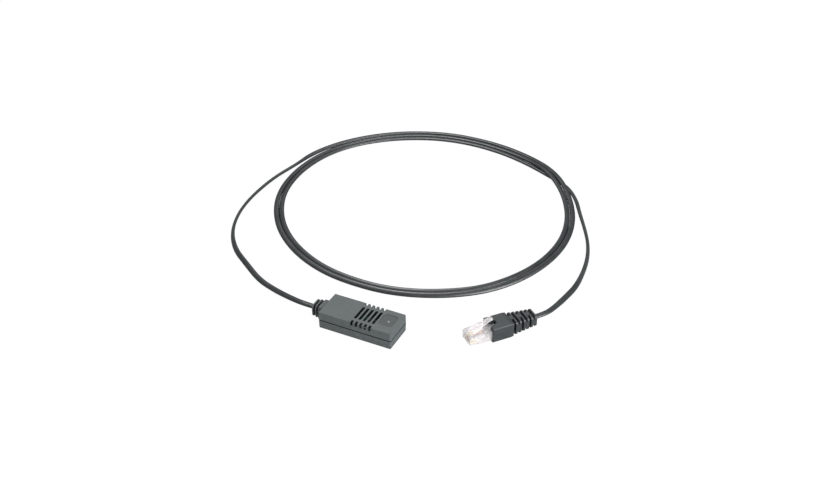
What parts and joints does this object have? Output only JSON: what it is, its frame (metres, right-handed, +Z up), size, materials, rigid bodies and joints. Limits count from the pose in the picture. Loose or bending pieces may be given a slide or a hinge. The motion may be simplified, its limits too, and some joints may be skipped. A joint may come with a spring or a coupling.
{
  "type": "rack temperature sensor",
  "caption": "Vented dark plastic sensor pod on a coiled flat cable that ends in a clear modular plug with a ribbed boot, for reading the air temperature inside an equipment rack.",
  "frame": {"origin": "middle of the pod's underside, on the surface that the pod, coil and plug lie on", "axes": "+Z up out of the pod's vented top; +X along the pod, away from its cable; +Y across the pod towards the coil"},
  "size_m": [0.2668, 0.276, 0.0155],
  "materials": {
    "shell_plastic": "fine matt texture",
    "boot_pvc": "matt flexible moulding",
    "cord_jacket": "satin flexible jacket",
    "plug_clear": "clear moulding",
    "clear_acrylic": "clear moulding",
    "contact_gold": "gold plated",
    "screw_steel": "zinc plated",
    "tinned_copper": "tinned",
    "board_laminate": "green solder mask",
    "chip_epoxy": "matt epoxy",
    "capacitor_ceramic": "ceramic",
    "led_white": "moulded resin",
    "header_nylon": "natural nylon",
    "wire_black": "insulation",
    "wire_red": "insulation",
    "wire_green": "insulation",
    "wire_yellow": "insulation"
  },
  "bodies": {
    "root": {"upper_shell": "shell_plastic", "lower_shell": "shell_plastic", "shell_screws": "screw_steel", "indicator_light_pipe": "clear_acrylic", "indicator_led": "led_white", "circuit_board": "board_laminate", "temperature_chip": "chip_epoxy", "memory_chip": "chip_epoxy", "chip_leads": "tinned_copper", "capacitors": "capacitor_ceramic", "resistors": "chip_epoxy", "wire_header": "header_nylon", "header_pins": "tinned_copper", "sensor_boot": "boot_pvc", "cord_end_in_sensor": "cord_jacket", "cord_sensor_tail": "cord_jacket", "cord_coil": "cord_jacket", "cord_plug_tail": "cord_jacket", "cord_end_in_plug": "cord_jacket", "plug_body": "plug_clear", "plug_boot": "boot_pvc", "board_wire_black": "wire_black", "plug_wire_black": "wire_black", "board_wire_red": "wire_red", "plug_wire_red": "wire_red", "board_wire_green": "wire_green", "plug_wire_green": "wire_green", "board_wire_yellow": "wire_yellow", "plug_wire_yellow": "wire_yellow", "plug_contact_1": "contact_gold", "plug_contact_2": "contact_gold", "plug_contact_3": "contact_gold", "plug_contact_4": "contact_gold", "plug_contact_5": "contact_gold", "plug_contact_6": "contact_gold", "plug_contact_7": "contact_gold", "plug_contact_8": "contact_gold"}
  },
  "joints": []
}
